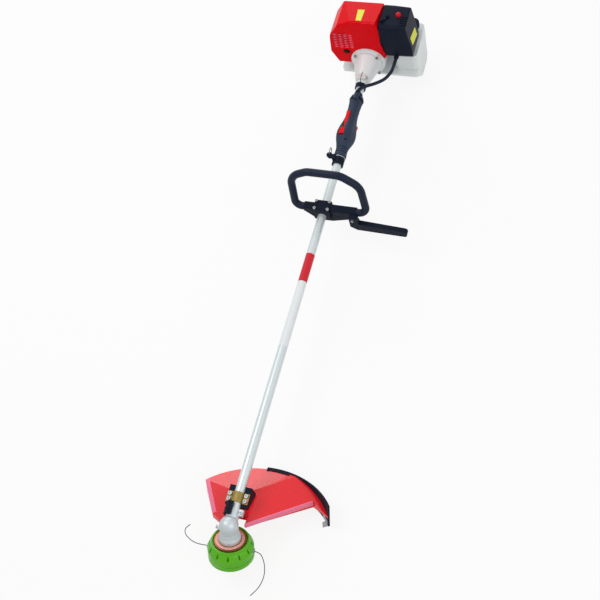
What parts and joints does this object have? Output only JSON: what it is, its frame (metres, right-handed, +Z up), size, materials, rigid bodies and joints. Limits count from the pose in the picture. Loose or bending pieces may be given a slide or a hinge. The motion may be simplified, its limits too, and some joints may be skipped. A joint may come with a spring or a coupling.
{
  "type": "string trimmer",
  "caption": "Petrol string trimmer: engine and tank on a straight tube with rear throttle handle, loop handle, bevel gear head, line head and debris guard.",
  "frame": {"origin": "middle of the fuel tank's flat foot, on the floor", "axes": "+Y along the drive tube from the trimmer head towards the engine, +Z up, +X towards the air filter"},
  "size_m": [0.3952, 1.877, 0.3102],
  "materials": {
    "tube_paint": "satin black painted tube",
    "bush_plastic": "nylon",
    "steel": "ground steel",
    "cast_silver": "die-cast aluminium",
    "black_rubber": "rubber",
    "iron": "sintered iron",
    "ceramic": "glazed ceramic and steel",
    "black_plastic": "moulded black plastic",
    "muffler_steel": "heat-tinted pressed steel",
    "red_plastic": "glossy red moulding",
    "foam": "open foam",
    "red_rubber": "soft red bulb",
    "tank_plastic": "milky polyethylene",
    "handle_plastic": "grained black plastic",
    "red_lever": "red moulding",
    "cast_grey": "sand-cast aluminium",
    "copper_zinc": "copper-toned plate",
    "green_plastic": "bright green moulding",
    "spool_plastic": "black nylon",
    "line_nylon": "nylon filament",
    "yellow_zinc": "yellow-zinc plated steel"
  },
  "bodies": {
    "frame": {"ball_bearings": "steel", "barrier_bar": "black_plastic", "carburettor": "cast_silver", "clamp_screws": "steel", "clutch_housing": "cast_silver", "conduit_clip": "black_plastic", "crankcase": "cast_silver", "cylinder": "cast_silver", "debris_guard": "red_plastic", "drive_tube": "tube_paint", "engine_cover": "red_plastic", "filter_base": "black_plastic", "filter_cover": "black_plastic", "filter_element": "foam", "fuel_tank": "tank_plastic", "gear_case": "cast_grey", "guard_bolts": "steel", "guard_saddle": "black_plastic", "guard_skirt": "black_plastic", "guard_strap": "yellow_zinc", "handle_left": "handle_plastic", "handle_right": "handle_plastic", "handle_screws": "steel", "harness_clamp": "black_plastic", "ignition_coil": "black_plastic", "line_cutter": "steel", "loop_clamp_base": "black_plastic", "loop_clamp_cap": "black_plastic", "loop_grip": "black_rubber", "muffler": "muffler_steel", "shaft_bushes": "bush_plastic", "spark_plug": "ceramic", "starter_housing": "black_plastic", "throttle_conduit": "black_rubber", "tube_collar": "black_rubber"},
    "drive_line": {"drive_shaft": "steel", "clutch_drum": "steel", "pinion_gear": "steel"},
    "cutting_head": {"output_gear": "steel", "output_spindle": "steel", "spindle_flange": "copper_zinc", "head_housing": "green_plastic", "head_cover": "green_plastic", "line_eyelets": "steel", "cutting_line_a": "line_nylon", "cutting_line_b": "line_nylon"},
    "spool": {"line_spool": "spool_plastic"},
    "crank": {"crankshaft": "steel", "flywheel": "cast_silver", "clutch_shoes": "iron"},
    "trigger": {"throttle_trigger": "red_lever"},
    "lockout": {"throttle_lockout": "red_lever"},
    "switch": {"stop_switch": "red_lever"},
    "choke": {"choke_lever": "black_plastic"},
    "primer": {"primer_bulb": "red_rubber"},
    "grip": {"starter_grip": "black_plastic"},
    "pulley": {"starter_pulley": "black_plastic"},
    "cap": {"fuel_cap": "black_plastic"},
    "ring": {"harness_ring": "steel"}
  },
  "joints": [
    {"name": "head_spin", "type": "hinge", "parent": "frame", "child": "cutting_head", "pos_m": [0, -1.658, 0.14], "axis": [0, 0.5, 0.866], "continuous": true},
    {"name": "shaft_spin", "type": "hinge", "parent": "frame", "child": "drive_line", "pos_m": [0, 0, 0.14], "axis": [0, 1, 0], "continuous": true},
    {"name": "tap_feed", "type": "slide", "parent": "cutting_head", "child": "spool", "axis": [0, 0.5, 0.866], "range_m": [0, 0.005], "stiffness_N_per_m": 900},
    {"name": "crank_spin", "type": "hinge", "parent": "frame", "child": "crank", "pos_m": [0, 0, 0.14], "axis": [0, 1, 0], "continuous": true},
    {"name": "trigger_pull", "type": "hinge", "parent": "frame", "child": "trigger", "pos_m": [0.00684, -0.392, 0.12121], "axis": [0.9397, 0, 0.342], "range_deg": [0, 16], "stiffness_Nm_per_rad": 0.6, "springref_deg": -11.46},
    {"name": "lockout_press", "type": "hinge", "parent": "frame", "child": "lockout", "pos_m": [-0.0065, -0.384, 0.15785], "axis": [-0.9397, 0, -0.342], "range_deg": [0, 4], "stiffness_Nm_per_rad": 0.6, "springref_deg": -11.46},
    {"name": "switch_slide", "type": "slide", "parent": "frame", "child": "switch", "axis": [0, -1, 0], "range_m": [0, 0.005]},
    {"name": "choke_turn", "type": "hinge", "parent": "frame", "child": "choke", "pos_m": [0.066, -0.06, 0.29], "axis": [0, 0, 1], "range_deg": [0, 60]},
    {"name": "primer_press", "type": "slide", "parent": "frame", "child": "primer", "axis": [0, 0, -1], "range_m": [0, 0.004], "stiffness_N_per_m": 600},
    {"name": "starter_pull", "type": "slide", "parent": "frame", "child": "grip", "axis": [0.4464, 0.755, 0.4804], "range_m": [0, 0.6], "stiffness_N_per_m": 15, "springref_m": -0.2},
    {"name": "pulley_turn", "type": "hinge", "parent": "frame", "child": "pulley", "pos_m": [0, 0, 0.14], "axis": [0, 1, 0], "range_deg": [0, 1260]},
    {"name": "cap_turn", "type": "hinge", "parent": "frame", "child": "cap", "pos_m": [0.118, 0.032, 0.15], "axis": [0, 0, 1], "range_deg": [0, 270]},
    {"name": "ring_swing", "type": "hinge", "parent": "frame", "child": "ring", "pos_m": [-0.028, -0.496, 0.158], "axis": [0, 0, 1], "range_deg": [-8, 50]}
  ],
  "couplings": [
    {"joint": "shaft_spin", "follows": "head_spin", "ratio": -1.3571},
    {"joint": "pulley_turn", "follows": "starter_pull", "rad_per_m": 35.714}
  ]
}
